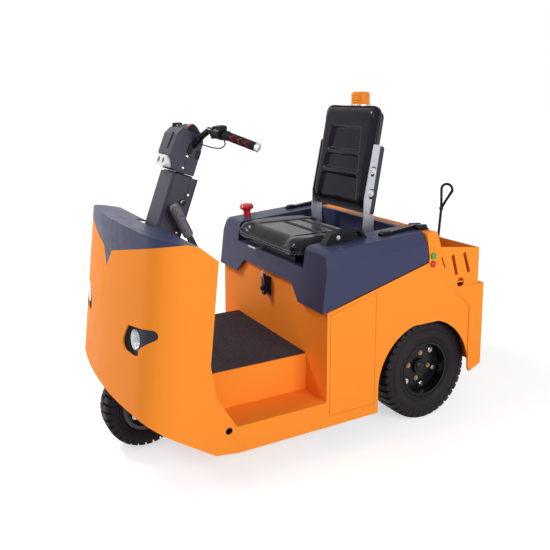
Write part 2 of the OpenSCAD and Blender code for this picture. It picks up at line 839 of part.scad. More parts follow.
module handlebar() {
  color("black") on_column() both() {
    for (i = [0:2]) bar(bend[i], bend[i + 1], bar_r);
    for (i = [1:3]) translate(bend[i]) sphere(bar_r + 0.6);
    bar(bend[3], bend[3] + grip_dir * (grip_len + 4), bar_r);
  }
}

module grips() {
  color("black") on_column() both() difference() {
    bar(bend[3] + grip_dir * 6, bend[3] + grip_dir * (6 + grip_len), grip_r);
    bar(bend[3], bend[3] + grip_dir * (grip_len + 4), bar_r);
  }
}

module switch_pods() {
  d = (bend[3] - bend[2]) / norm(bend[3] - bend[2]);
  color("black") on_column() both() difference() {
    bar(bend[2] + d * 32, bend[3] - d * 16, 22);
    bar(bend[2], bend[3], bar_r);
  }
}

cable = [[20, 67, 140], [25, 100, 168], [18, 142, 192], [-4, 180, 199]];

module bar_cable() {
  color("black") on_column() {
    for (i = [0:2]) bar(cable[i], cable[i + 1], 2.5);
    for (i = [1:2]) translate(cable[i]) sphere(3);
  }
}

module fork() {
  y = front_w / 2 + fork_gap;
  color("dimgray") {
    block([front_x - 28, -y - 12, crown_z], [front_x + 28, y + 12, crown_z + crown_t]);
    translate([front_x, 0, crown_z]) cylinder(r = king_r, h = crown_t + 100);
    both() side_cut(y, y + 12) {
      polygon([[front_x - 28, crown_z + 1], [front_x + 28, crown_z + 1], [front_x + 30, front_r],
        [front_x - 30, front_r]]);
      translate([front_x, front_r]) circle(30);
    }
    y_rod(front_x, front_r, axle_r, -y - 20, y + 20);
  }
}

module front_rim() {
  w = front_w / 2;
  color("dimgray") translate([front_x, 0, front_r]) rotate([-90, 0, 0]) rotate_extrude($fn = 96)
    polygon([[axle_r + pin_gap, -w], [axle_r + 22, -w], [axle_r + 22, -14], [front_rim_r - 14, -14],
      [front_rim_r - 14, -w + 8], [front_rim_r, -w + 8], [front_rim_r, w - 8], [front_rim_r - 14, w - 8],
      [front_rim_r - 14, 14], [axle_r + 22, 14], [axle_r + 22, w], [axle_r + pin_gap, w]]);
}

// Tyre round Y at the origin: rim radius, outer radius, width
module tyre(rim, r, w) {
  h = w / 2;
  rotate([-90, 0, 0]) rotate_extrude($fn = 96)
    polygon([[rim, -h + 8], [rim + 10, -h], [r - 34, -h], [r - 8, -h + 10], [r, -h + 24], [r, h - 24],
      [r - 8, h - 10], [r - 34, h], [rim + 10, h], [rim, h - 8]]);
}

module front_tyre() {
  color("black") translate([front_x, 0, front_r]) tyre(front_rim_r, front_r, front_w);
}

module rear_rim() {
  w = rear_w / 2;
  translate([rear_x, tyre_out - w, rear_r]) rotate([-90, 0, 0]) rotate_extrude($fn = 96)
    polygon([[axle_r + pin_gap, -w + 4], [axle_r + 26, -w + 4], [axle_r + 26, 8], [rear_rim_r - 16, 8],
      [rear_rim_r - 16, -w + 8], [rear_rim_r, -w + 8], [rear_rim_r, w - 8], [rear_rim_r - 16, w - 8],
      [rear_rim_r - 16, 22], [axle_r + 14, 22], [axle_r + 10, 36], [0, 36], [0, 8], [axle_r + pin_gap, 8]]);
}

module rear_rim_left() {
  color("black") rear_rim();
}

module rear_rim_right() {
  color("black") mirror([0, 1, 0]) rear_rim();
}

module rear_tyre_left() {
  color("black") translate([rear_x, tyre_out - rear_w / 2, rear_r]) tyre(rear_rim_r, rear_r, rear_w);
}

module rear_tyre_right() {
  color("black") mirror([0, 1, 0]) translate([rear_x, tyre_out - rear_w / 2, rear_r]) tyre(rear_rim_r, rear_r, rear_w);
}

module tow_pin() {
  color("black") translate([tow_x, 0, 0]) {
    translate([0, 0, hitch_z - hitch_gap - jaw_t - 6]) cylinder(r = hitch_r, h = hitch_gap + 2 * jaw_t + 12);
    translate([0, 0, hitch_z + jaw_t]) cylinder(r = hitch_r + 8, h = 10);
    bar([0, 0, hitch_z + jaw_t], [-34, 0, rod_top - 125], 5);
    translate([-34, 0, rod_top]) rotate([0, 0, -60]) {
      for (x = [2, -50]) bar([0, 0, -125], [x, 0, -31], 5);
      translate([0, 0, -125]) sphere(8);
      for (x = [2, -50]) translate([x, 0, -31]) sphere(5.6);
      translate([-24, 0, -31]) rotate([90, 0, 0]) rotate_extrude(angle = 180) translate([26, 0]) circle(5);
    }
  }
}

floor_pan();
floor_mat();
front_cowl();
cowl_cap();
lamp_plates();
headlamps();
bulkhead();
front_frame();
steering_column();
brake_lever();
brake_grip();
underframe();
battery();
battery_wall();
side_panels();
side_covers();
fender_plates();
hinge_beam();
rear_tray();
rear_plate();
tow_bracket();
switch_plate();
green_button();
red_button();
drive_axle();
hood_latch();
hinge_blocks();
hood_shell();
hinge_arms();
seat_base();
seat_cushion();
seat_back();
back_shell();
seat_brackets();
hip_guard();
seat_lever();
beacon_base();
beacon_lens();
stop_button();
control_head();
head_trim();
handlebar();
grips();
switch_pods();
bar_cable();
fork();
front_rim();
front_tyre();
rear_rim_left();
rear_tyre_left();
rear_rim_right();
rear_tyre_right();
tow_pin();
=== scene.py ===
import json
import math
import random

import bmesh
import bpy
import numpy as np
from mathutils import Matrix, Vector
from mathutils.bvhtree import BVHTree


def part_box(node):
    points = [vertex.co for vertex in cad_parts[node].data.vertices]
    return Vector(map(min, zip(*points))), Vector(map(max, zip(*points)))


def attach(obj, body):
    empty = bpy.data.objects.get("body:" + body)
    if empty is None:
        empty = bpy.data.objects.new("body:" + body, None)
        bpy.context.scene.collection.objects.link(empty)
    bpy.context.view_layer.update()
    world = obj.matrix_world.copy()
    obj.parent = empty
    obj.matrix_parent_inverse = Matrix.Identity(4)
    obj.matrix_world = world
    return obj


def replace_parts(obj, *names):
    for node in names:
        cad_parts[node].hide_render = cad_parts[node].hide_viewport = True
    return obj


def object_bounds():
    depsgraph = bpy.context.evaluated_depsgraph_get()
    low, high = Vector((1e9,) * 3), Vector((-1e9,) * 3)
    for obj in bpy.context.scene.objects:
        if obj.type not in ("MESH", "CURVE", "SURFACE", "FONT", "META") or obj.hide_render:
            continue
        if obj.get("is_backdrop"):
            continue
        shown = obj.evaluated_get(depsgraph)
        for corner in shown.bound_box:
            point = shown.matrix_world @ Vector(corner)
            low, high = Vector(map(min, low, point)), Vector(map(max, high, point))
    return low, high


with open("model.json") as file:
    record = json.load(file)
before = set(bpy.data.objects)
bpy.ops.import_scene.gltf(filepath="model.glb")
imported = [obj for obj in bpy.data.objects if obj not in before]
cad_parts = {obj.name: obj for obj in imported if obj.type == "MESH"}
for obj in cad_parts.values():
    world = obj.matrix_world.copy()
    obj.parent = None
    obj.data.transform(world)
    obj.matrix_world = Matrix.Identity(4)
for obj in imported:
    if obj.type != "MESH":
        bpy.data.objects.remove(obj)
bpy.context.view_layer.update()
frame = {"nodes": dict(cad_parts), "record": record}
nodes = frame["nodes"]
scene = bpy.context.scene
scene.view_settings.view_transform = "Standard"
random.seed(7)

MM = 0.001
AHEAD = (1, 0, 0)
LEFT = (0, 1, 0)
UP = (0, 0, 1)

# Camera at the photograph's place, with its lens and shift in the photograph's pixels
PHOTO_PX = 550
FOCAL_PX = 661.58
SHIFT_PX = -80
SENSOR = 36
CAMERA_TURN = math.radians(150.76)
CAMERA_RISE = math.radians(8.54)
CAMERA_PLACE = (1.41221, 2.35864, 1.33118)


def make_camera():
    data = bpy.data.cameras.new("camera")
    cam = bpy.data.objects.new("camera", data)
    scene.collection.objects.link(cam)
    level = math.cos(CAMERA_RISE)
    back = Vector((math.sin(CAMERA_TURN) * level, -math.cos(CAMERA_TURN) * level, math.sin(CAMERA_RISE)))
    cam.location = CAMERA_PLACE
    cam.rotation_mode = "QUATERNION"
    cam.rotation_quaternion = (-back).to_track_quat("-Z", "Y")
    data.sensor_width = SENSOR
    data.lens = FOCAL_PX / PHOTO_PX * SENSOR
    data.shift_y = SHIFT_PX / PHOTO_PX
    data.clip_start = 0.05
    data.clip_end = 60
    scene.camera = cam


# Material helpers
def new_material(name):
    m = bpy.data.materials.new(name)
    m.use_nodes = True
    return m, m.node_tree, m.node_tree.nodes["Principled BSDF"]


def position(tree):
    """Place on the piece, in metres."""
    return tree.nodes.new("ShaderNodeTexCoord").outputs["Object"]


def noise(tree, scale, detail=3.0):
    n = tree.nodes.new("ShaderNodeTexNoise")
    n.inputs["Scale"].default_value = scale
    n.inputs["Detail"].default_value = detail
    tree.links.new(position(tree), n.inputs["Vector"])
    return n.outputs["Fac"]


def cells(tree, scale):
    n = tree.nodes.new("ShaderNodeTexVoronoi")
    n.inputs["Scale"].default_value = scale
    tree.links.new(position(tree), n.inputs["Vector"])
    return n.outputs["Distance"]


def spread(tree, fac, low, high, start=0.3, end=0.7):
    """Maps start..end to low..high."""
    r = tree.nodes.new("ShaderNodeMapRange")
    r.inputs["From Min"].default_value = start
    r.inputs["From Max"].default_value = end
    r.inputs["To Min"].default_value = low
    r.inputs["To Max"].default_value = high
    tree.links.new(fac, r.inputs["Value"])
    return r.outputs["Result"]


def tint(tree, fac, a, b):
    mix = tree.nodes.new("ShaderNodeMix")
    mix.data_type = "RGBA"
    mix.inputs["A"].default_value = (*a, 1)
    mix.inputs["B"].default_value = (*b, 1)
    tree.links.new(fac, mix.inputs["Factor"])
    return mix.outputs["Result"]


def math_node(tree, operation, *values):
    n = tree.nodes.new("ShaderNodeMath")
    n.operation = operation
    for value, socket in zip(values, n.inputs):
        tree.links.new(value, socket)
    return n.outputs[0]


def bump(tree, shader, height, strength, distance):
    b = tree.nodes.new("ShaderNodeBump")
    b.inputs["Strength"].default_value = strength
    b.inputs["Distance"].default_value = distance
    tree.links.new(height, b.inputs["Height"])
    tree.links.new(b.outputs["Normal"], shader.inputs["Normal"])


def surface(name, color, rough, metallic=0.0, vary=0.12, patch=9.0, grain=600.0, depth=0.0003,
            strength=0.25, shine=0.5):
    """Painted, moulded or metal surface: slow colour drift, uneven gloss and a fine grain."""
    m, tree, s = new_material(name)
    dark = tuple(c * (1 - vary) for c in color)
    light = tuple(min(1, c * (1 + vary * 0.6)) for c in color)
    tree.links.new(tint(tree, noise(tree, patch, 4), dark, light), s.inputs["Base Color"])
    gloss = spread(tree, noise(tree, patch * 5, 3), rough * 0.85, min(1, rough * 1.15))
    tree.links.new(gloss, s.inputs["Roughness"])
    s.inputs["Metallic"].default_value = metallic
    s.inputs["Specular IOR Level"].default_value = shine
    bump(tree, s, noise(tree, grain, 2), strength, depth)
    return m


def clear(name, color, rough, transmission):
    """Clear or tinted moulding that lets light through."""
    m, tree, s = new_material(name)
    light = tuple(min(1, c * 1.05) for c in color)
    tree.links.new(tint(tree, noise(tree, 30, 2), color, light), s.inputs["Base Color"])
    s.inputs["Roughness"].default_value = rough
    s.inputs["Transmission Weight"].default_value = transmission
    s.inputs["IOR"].default_value = 1.45
    s.inputs["Specular IOR Level"].default_value = 0.35
    bump(tree, s, noise(tree, 250, 2), 0.03, 0.0001)
    return m


def leather(name, color, rough):
    """Grained cover with pebbled cells."""
    m, tree, s = new_material(name)
    light = tuple(c * 1.25 for c in color)
    tree.links.new(tint(tree, noise(tree, 12, 4), color, light), s.inputs["Base Color"])
    tree.links.new(spread(tree, noise(tree, 40, 3), rough * 0.85, rough * 1.2), s.inputs["Roughness"])
    s.inputs["Specular IOR Level"].default_value = 0.11
    bump(tree, s, cells(tree, 700), 0.03, 0.0003)
    return m


def perforated(name, color, rough):
    """Rubber with a field of small dimples, coloured darker inside as painted shade."""
    m, tree, s = new_material(name)
    dimples_and_shade = spread(tree, cells(tree, 105), 0.0, 1.0, 0.2, 0.34)
    # Painted shade: the middle of each dimple is coloured at a third of the rubber's colour
    tree.links.new(tint(tree, dimples_and_shade, tuple(c * 0.3 for c in color), color), s.inputs["Base Color"])
    s.inputs["Roughness"].default_value = rough
    s.inputs["Specular IOR Level"].default_value = 0.2
    bump(tree, s, dimples_and_shade, 0.6, 0.002)
    return m


def plate_with_painted_shade(name, outer, inner, start=0.285, end=0.335):
    """Moulding with painted shade: its colour goes dark towards the middle of the machine, standing in for
    the shadow in the deepest part of the lamp's recess.
    """
    m, tree, s = new_material(name)
    split = tree.nodes.new("ShaderNodeSeparateXYZ")
    tree.links.new(position(tree), split.inputs["Vector"])
    across = math_node(tree, "ABSOLUTE", split.outputs["Y"])
    tree.links.new(tint(tree, spread(tree, across, 0, 1, start, end), inner, outer), s.inputs["Base Color"])
    tree.links.new(spread(tree, across, 0.8, 0.45, start, end), s.inputs["Roughness"])
    s.inputs["Specular IOR Level"].default_value = 0.1
    bump(tree, s, noise(tree, 900, 2), 0.25, 0.0003)
    return m


# Materials by slot: colour, roughness and what differs from the usual surface
PLAIN = {
    "orange_paint": ((0.97, 0.288, 0.032), 0.5,
                     dict(vary=0.04, patch=3, grain=260, strength=0.1, shine=0.05)),
    "slate_plastic": ((0.04, 0.046, 0.1), 0.38,
                      dict(vary=0.08, patch=6, grain=900, strength=0.12, shine=0.16)),
    "dark_plastic": ((0.05, 0.047, 0.068), 0.38,
                     dict(vary=0.15, patch=8, grain=900, strength=0.3, shine=0.15)),
    "black_plastic": ((0.011, 0.011, 0.013), 0.4, dict(vary=0.2, patch=12, grain=900, shine=0.12)),
    "black_paint": ((0.006, 0.006, 0.007), 0.26,
                    dict(vary=0.2, patch=10, grain=300, strength=0.15, shine=0.2)),
    "bare_steel": ((0.4, 0.41, 0.45), 0.42,
                   dict(metallic=0.9, vary=0.08, patch=20, grain=700, strength=0.15)),
    "cast_grey": ((0.06, 0.06, 0.064), 0.55,
                  dict(vary=0.2, patch=18, grain=160, depth=0.0008, strength=0.4)),
    "mat_rubber": ((0.034, 0.026, 0.035), 0.66, dict(vary=0.2, patch=14, grain=500, shine=0.25)),
    "grip_rubber": ((0.012, 0.012, 0.014), 0.52, dict(vary=0.2, patch=20, grain=700, shine=0.12)),
    "tyre_rubber": ((0.013, 0.0095, 0.013), 0.55,
                    dict(vary=0.25, patch=16, grain=300, depth=0.0006, strength=0.35, shine=0.15)),
    "red_plastic": ((0.55, 0.008, 0.014), 0.24, dict(vary=0.1, patch=30, strength=0.1)),
    "green_plastic": ((0.03, 0.34, 0.03), 0.28, dict(vary=0.1, patch=30, strength=0.1)),
    "pale_plastic": ((0.72, 0.73, 0.74), 0.4, dict(vary=0.05, patch=20, grain=800, strength=0.2)),
    "battery_case": ((0.04, 0.04, 0.045), 0.55, dict(vary=0.15, patch=10, grain=500)),
}
MATERIAL = {slot: surface(slot, color, rough, **more) for slot, (color, rough, more) in PLAIN.items()}
MATERIAL["seat_leather"] = leather("seat_leather", (0.012, 0.01, 0.015), 0.2)
MATERIAL["grey_rubber"] = perforated("grey_rubber", (0.15, 0.135, 0.16), 0.55)
MATERIAL["amber_plastic"] = clear("amber_plastic", (1.0, 0.27, 0.0), 0.12, 0.12)
MATERIAL["lamp_glass"] = clear("lamp_glass", (0.96, 0.97, 0.98), 0.04, 1.0)

# Materials of small pieces
FINE = dict(patch=60, grain=900, strength=0.1)
BRIGHT = surface("bright_zinc", (0.6, 0.6, 0.63), 0.22, metallic=1.0, vary=0.05, **FINE)
BRASS = surface("brass", (0.42, 0.27, 0.14), 0.28, metallic=1.0, vary=0.1, **FINE)
DARK_RED = surface("dark_red", (0.26, 0.007, 0.014), 0.4, vary=0.1, shine=0.2, **FINE)
THREAD = surface("thread", (0.3, 0.28, 0.29), 0.7, vary=0.1, patch=200, grain=1500, strength=0.4)
FACETS = surface("lamp_bowl", (0.32, 0.33, 0.35), 0.16, metallic=1.0, vary=0.05, patch=60, grain=90,
                 depth=0.004, strength=0.8)
# Lamp surround: its near-black inner part is painted shade of the recess beside each lens
LAMP_PLATE_PAINTED_SHADE = plate_with_painted_shade("lamp_plate", (0.03, 0.033, 0.055), (0.003, 0.003, 0.003))

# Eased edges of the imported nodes: width in metres, least angle in degrees, nodes
EASED_EDGES = (
    (0.0012, 35, ("front_cowl", "side_panels", "side_covers", "fender_plates", "hinge_beam", "rear_tray",
                  "rear_plate", "battery_wall", "floor_pan", "bulkhead", "seat_brackets", "tow_bracket",
                  "brake_lever", "hinge_arms", "hinge_blocks")),
    (0.004, 35, ("cowl_cap", "control_head", "head_trim", "hip_guard", "back_shell", "seat_base", "battery",
                 "brake_grip", "stop_button")),
    (0.008, 18, ("hood_shell", "steering_column")),
)
slot_of = {p["node"]: p["material_slot"] for p in frame["record"]["subparts"]}
# The lamp plates take the surround with painted shade; all other nodes take their slot's material
for name, obj in nodes.items():
    obj.data.materials.clear()
    obj.data.materials.append(LAMP_PLATE_PAINTED_SHADE if name == "lamp_plates" else MATERIAL[slot_of[name]])
for width, angle, names in EASED_EDGES:
    for name in names:
        soft = nodes[name].modifiers.new("soft_edges", "BEVEL")
        soft.width = width
        soft.segments = 4
        soft.limit_method = "ANGLE"
        soft.angle_limit = math.radians(angle)


# Mesh helpers, in millimetres
def basis(axis):
    w = Vector(axis).normalized()
    u = w.orthogonal().normalized()
    return u, w.cross(u), w


def arc(count, phase=0.0):
    """Angles of count places round a circle, the first moved on by phase places."""
    return [2 * math.pi * (i + phase) / count for i in range(count)]


def inset(outline, gap):
    """The outline moved inwards by gap."""
    area = sum(a[0] * b[1] - b[0] * a[1] for a, b in zip(outline, outline[1:] + outline[:1]))
    sign = 1 if area > 0 else -1
    result = []
    for i, p in enumerate(outline):
        p = Vector(p)
        before = (p - Vector(outline[i - 1])).normalized()
        after = (Vector(outline[(i + 1) % len(outline)]) - p).normalized()
        a = Vector((-before.y, before.x)) * sign
        b = Vector((-after.y, after.x)) * sign
        q = p + (a + b) * gap / max(0.4, 1 + a.dot(b))
        result.append((q.x, q.y))
    return result


def eased(outline, radius, steps=4):
    """The outline with its corners rounded."""
    result = []
    for i, p in enumerate(outline):
        p = Vector(p)
        a = Vector(outline[i - 1]) - p
        b = Vector(outline[(i + 1) % len(outline)]) - p
        cut = min(radius, a.length * 0.45, b.length * 0.45)
        a, b = p + a.normalized() * cut, p + b.normalized() * cut
        for k in range(steps + 1):
            t = k / steps
            q = a * (1 - t) ** 2 + p * 2 * t * (1 - t) + b * t ** 2
            result.append((q.x, q.y))
    return result


def oblong(low, high, radius):
    """Rounded rectangle between two corners."""
    return eased([low, (high[0], low[1]), high, (low[0], high[1])], radius)


def curve(points, steps=8):
    """Smooth path through the points."""
    p = [Vector(q) for q in points]
    p = [p[0] * 2 - p[1]] + p + [p[-1] * 2 - p[-2]]
    path = []
    for i in range(1, len(p) - 2):
        for k in range(steps):
            t = k / steps
            path.append(0.5 * (2 * p[i] + (p[i + 1] - p[i - 1]) * t
                               + (2 * p[i - 1] - 5 * p[i] + 4 * p[i + 1] - p[i + 2]) * t ** 2
                               + (3 * p[i] - 3 * p[i + 1] + p[i + 2] - p[i - 1]) * t ** 3))
    return path + [p[-2]]


def register(obj, body, slot, material=None):
    obj.data.materials.clear()
    obj.data.materials.append(material or MATERIAL[slot])
    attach(obj, body)
    return obj


class Shape:
    """Vertices and faces of one piece, gathered from several closed forms."""

    def __init__(self):
        self.verts = []
        self.faces = []

    def rings(self, rings, closed=False):
        """Skin over rings of equal count, capped at both ends unless it closes on itself."""
        start, n, count = len(self.verts), len(rings[0]), len(rings)
        self.verts += [tuple(c * MM for c in p) for ring in rings for p in ring]
        for i in range(count if closed else count - 1):
            a, b = start + i * n, start + (i + 1) % count * n
            self.faces += [(a + j, a + (j + 1) % n, b + (j + 1) % n, b + j) for j in range(n)]
        if not closed:
            last = start + (count - 1) * n
            self.faces += [tuple(range(start, start + n)), tuple(range(last, last + n))]

    def lathe(self, profile, origin, axis, turns=32, closed=False, phase=0.0):
        """Turns (radius, height) points round the axis."""
        u, v, w = basis(axis)
        o = Vector(origin)
        spokes = [u * math.cos(t) + v * math.sin(t) for t in arc(turns, phase)]
        self.rings([[o + w * h + spoke * r for spoke in spokes] for r, h in profile], closed)

    def sweep(self, points, radius, sides=12):
        """Round bar along the points."""
        points = [Vector(p) for p in points]
        last = len(points) - 1
        up = None
        rings = []
        for i, p in enumerate(points):
            d = (points[min(i + 1, last)] - points[max(i - 1, 0)]).normalized()
            up = d.orthogonal() if up is None else up
            up = (up - d * up.dot(d)).normalized()
            across = d.cross(up)
            rings.append([p + (up * math.cos(t) + across * math.sin(t)) * radius for t in arc(sides)])
        self.rings(rings)

    def plate(self, outline, low, high, edge, place):
        """Outline in two coordinates, thickened from low to high, with chamfered edges."""
        inner = inset(outline, edge)
        layers = ((inner, low), (outline, low + edge), (outline, high - edge), (inner, high))
        self.rings([[place(a, b, h) for a, b in ring] for ring, h in layers])

    def bolt(self, origin, axis, r, sides=6):
        """Chamfered head on a washer, turned at random."""
        self.lathe([(0, 0), (r * 1.5, 0), (r * 1.5, r * 0.25), (0, r * 0.25)], origin, axis, 24)
        head = [(0, 0), (r, 0), (r, r * 0.7), (r * 0.86, r * 0.86), (0, r * 0.86)]
        self.lathe(head, origin, axis, sides, phase=random.random())

    def bolt_ring(self, hub, way, proud, radius, count, phase, r):
        """Bolts round a hub that faces along Y, proud of its centre."""
        x, y, z = hub
        for t in arc(count, phase):
            spot = (x + radius * math.cos(t), y + way * proud, z + radius * math.sin(t))
            self.bolt(spot, (0, way, 0), r)

    def screw(self, origin, axis, r):
        """Low domed head with a socket."""
        dome = [(0, 0), (r, 0), (r, r * 0.2), (r * 0.75, r * 0.55), (r * 0.4, r * 0.62)]
        socket = [(r * 0.34, r * 0.2), (0, r * 0.2)]
        self.lathe(dome + socket, origin, axis, 20)

    def build(self, name, body, slot, material=None, sharp=38):
        mesh = bpy.data.meshes.new(name)
        mesh.from_pydata(self.verts, [], self.faces)
        bm = bmesh.new()
        bm.from_mesh(mesh)
        bmesh.ops.remove_doubles(bm, verts=bm.verts, dist=1e-7)
        bmesh.ops.recalc_face_normals(bm, faces=bm.faces)
        bm.to_mesh(mesh)
        bm.free()
        mesh.polygons.foreach_set("use_smooth", [True] * len(mesh.polygons))
        mesh.set_sharp_from_angle(angle=math.radians(sharp))
        obj = bpy.data.objects.new(name, mesh)
        scene.collection.objects.link(obj)
        return register(obj, body, slot, material)


def on_side(way):
    """Places an outline in x and z, thickened outwards on that side."""
    return lambda a, b, h: (a, way * h, b)


def lying(a, b, h):
    """Places an outline in x and y, thickened upwards."""
    return (a, b, h)


def tilted(origin, degrees):
    """Point in a frame that leans back about Y, as a function."""
    c, s = math.cos(math.radians(degrees)), math.sin(math.radians(degrees))
    return lambda x, y, z: Vector((origin[0] + x * c - z * s, origin[1] + y, origin[2] + x * s + z * c))


# The steering column's frame, with its origin where the head turns
column = tilted((508.9, 0, 1034.2), 19.3)
COLUMN_FRONT = column(1, 0, 0) - column(0, 0, 0)
COLUMN_UP = column(0, 0, 1) - column(0, 0, 0)


# Tyres with blocks over the tread and down the shoulders
def tyre(name, node, body, centre, r, w, rim, lugs):
    h = w / 2
    bead = [(rim, h - 9), (rim + 5, h - 3), (rim + 10, h - 1), (rim + 14, h - 4), (rim + 18, h - 1.5)]
    wall = [(r - 46, h - 0.5), (r - 42, h - 3), (r - 38, h - 1), (r - 26, h - 2), (r - 15, h - 6)]
    side = bead + wall + [(r - 12, h - 14), (r - 11, h * 0.5)]
    s = Shape()
    s.lathe(side + [(a, -b) for a, b in reversed(side)], centre, LEFT, 96, closed=True)
    o = Vector(centre)
    # Across the tread: distance from the middle, radius of the top, height of the block
    stations = ((2, r, 12), (h * 0.5, r, 12), (h * 0.78, r - 1.5, 12), (h * 0.91, r - 6, 10),
                (h * 0.97, r - 15, 8), (h, r - 31, 3))
    pitch = 2 * math.pi / lugs
    for way in (-1, 1):
        for i in range(lugs):
            mid = (i + (0.5 if way > 0 else 0)) * pitch
            rings = []
            for y, top, deep in stations:
                lean = mid + 0.3 * pitch * y / h
                ring = []
                for rad, part in ((top - deep, -0.42), (top, -0.36), (top, 0.36), (top - deep, 0.42)):
                    t = lean + part * pitch
                    ring.append(o + Vector((rad * math.cos(t), way * y, rad * math.sin(t))))
                rings.append(ring)
            s.rings(rings)
    obj = s.build(name, body, "tyre_rubber", sharp=30)
    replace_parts(obj, node)


FRONT_HUB = (677, 0, 158)
REAR_X, REAR_Y, REAR_Z = -400, 327, 213
tyre("front_tyre_tread", "front_tyre", "front_wheel", FRONT_HUB, 158, 104, 92, 32)
for side, way in (("left", 1), ("right", -1)):
    body = "rear_wheel_" + side
    hub = (REAR_X, way * REAR_Y, REAR_Z)
    out = (0, way, 0)
    tyre("rear_tyre_tread_" + side, "rear_tyre_" + side, body, hub, 213, 150, 122, 40)
    bolts, nuts, lip = Shape(), Shape(), Shape()
    bolts.bolt_ring(hub, way, 22, 86, 6, 0.3, 8)
    nuts.bolt_ring(hub, way, 22, 54, 4, 0.12, 6.5)
    for r, h in ((117, 66), (101, 24), (70, 22.5)):
        bead = [(r - 3, h - 4), (r + 3, h - 4), (r + 3, h - 1),
                (r + 1.5, h + 1), (r - 1.5, h + 1), (r - 3, h - 1)]
        lip.lathe(bead, hub, out, 64, closed=True)
    lip.lathe([(0, 36), (22, 36), (22, 39), (16, 43), (0, 44)], hub, out, 32)
    bolts.build("rim_bolts_" + side, body, "bare_steel", BRIGHT)
    nuts.build("hub_nuts_" + side, body, "bare_steel", BRASS)
    lip.build("rim_rings_" + side, body, "black_paint")

bolts, flange = Shape(), Shape()
for way in (-1, 1):
    out = (0, way, 0)
    bolts.bolt_ring(FRONT_HUB, way, 14, 60, 5, 0.2, 7)
    bolts.lathe([(0, 90), (14, 90), (14, 96), (10, 99), (0, 99)], FRONT_HUB, out, 6)
    bolts.bolt_ring(FRONT_HUB, way, 33, 57, 6, 0.35, 7.5)
    profile = [(38, 12), (70, 12), (69, 30), (66, 33), (44, 34), (38, 38)]
    flange.lathe(profile, FRONT_HUB, out, 48, closed=True)
bolts.build("front_rim_bolts", "front_wheel", "bare_steel", BRIGHT)
flange.build("front_hub_flange", "front_wheel", "black_paint")

# Ribbed floor mat
RIB_PITCH, RIB_ROOM, RIB_TOP, RIB_FOOT = 11.6, 11, 5, 2.4
mat_low, mat_high = (c * 1000 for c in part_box("floor_mat"))
ribs = []
y = mat_low[1]
while y < mat_high[1] - RIB_ROOM:
    ribs += [(y, RIB_FOOT), (y + 2, RIB_FOOT), (y + 3, RIB_TOP), (y + 9, RIB_TOP), (y + 10, RIB_FOOT)]
    y += RIB_PITCH
near = [(mat_low[1], 0), (mat_low[1], RIB_FOOT)]
far = [(mat_high[1], RIB_FOOT), (mat_high[1], 0)]
section = near + ribs[1:] + far
stops = (mat_low[0], mat_low[0] + 150, mat_high[0] - 150, mat_high[0])
s = Shape()
s.rings([[(x, a, mat_low[2] + b) for a, b in section] for x in stops])
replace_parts(s.build("ribbed_mat", "chassis", "mat_rubber", sharp=20), "floor_mat")


# Stuffed covers: the CAD solid, eased, blown up as cloth and then seamed
VOXEL = 0.006
PRESSURE = 4
CLOTH_STEPS = 20


def coordinates(mesh):
    flat = np.empty(len(mesh.vertices) * 3)
    mesh.vertices.foreach_get("co", flat)
    return flat.reshape(-1, 3)


def settle(obj, kind, **values):
    """Applies one modifier to the mesh."""
    mod = obj.modifiers.new("step", kind)
    for key, value in values.items():
        setattr(mod, key, value)
    done = bpy.data.meshes.new_from_object(obj.evaluated_get(bpy.context.evaluated_depsgraph_get()))
    obj.modifiers.clear()
    old = obj.data
    obj.data = done
    bpy.data.meshes.remove(old)


def inflate(obj, cap):
    """Blows the mesh up as cloth, no point further than cap in metres."""
    cloth = obj.modifiers.new("cloth", "CLOTH")
    cloth.settings.use_pressure = True
    cloth.settings.uniform_pressure_force = PRESSURE
    cloth.settings.effector_weights.gravity = 0
    start = coordinates(obj.data)
    for step in range(1, CLOTH_STEPS + 1):
        scene.frame_set(step)
    shown = obj.evaluated_get(bpy.context.evaluated_depsgraph_get())
    move = coordinates(shown.data) - start
    far = np.linalg.norm(move, axis=1, keepdims=True)
    move *= np.minimum(1, cap / np.maximum(far, 1e-9))
    obj.modifiers.clear()
    obj.data.vertices.foreach_set("co", (start + move).ravel())
    scene.frame_set(1)


def stuffed(name, node, origin, lean, cap, seams):
    """Cover in its own leaning frame, in millimetres, kept to the size of the CAD solid."""
    source = nodes[node]
    mesh = source.data.copy()
    mesh.transform(source.matrix_world)
    obj = bpy.data.objects.new(name, mesh)
    scene.collection.objects.link(obj)
    c, s = math.cos(math.radians(lean)), math.sin(math.radians(lean))
    turn = np.array([[c, 0, s], [0, 1, 0], [-s, 0, c]])
    solid = (coordinates(mesh) * 1000 - origin) @ turn.T
    settle(obj, "REMESH", mode="VOXEL", voxel_size=VOXEL)
    settle(obj, "SMOOTH", factor=0.5, iterations=40)
    inflate(obj, cap)
    settle(obj, "SMOOTH", factor=0.5, iterations=14)
    settle(obj, "SUBSURF", levels=1, render_levels=1)
    mesh = obj.data
    co = (coordinates(mesh) * 1000 - origin) @ turn.T
    low, high = co.min(0), co.max(0)
    co = (co - low) / (high - low) * (solid.max(0) - solid.min(0)) + solid.min(0)
    normal = np.array([v.normal[:] for v in mesh.vertices]) @ turn.T
    co = seams(co, normal) @ turn + origin
    mesh.vertices.foreach_set("co", co.ravel() * MM)
    mesh.update()
    mesh.polygons.foreach_set("use_smooth", [True] * len(mesh.polygons))
    register(obj, "hood", "seat_leather")
    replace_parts(obj, node)
    return obj


def bell(value, width):
    return np.exp(-(value / width) ** 2)


def inside(value, low, high, soft):
    """1 between low and high, with soft edges."""
    rise = np.clip((value - low) / soft + 0.5, 0, 1)
    fall = np.clip((high - value) / soft + 0.5, 0, 1)
    return rise * rise * (3 - 2 * rise) * fall * fall * (3 - 2 * fall)


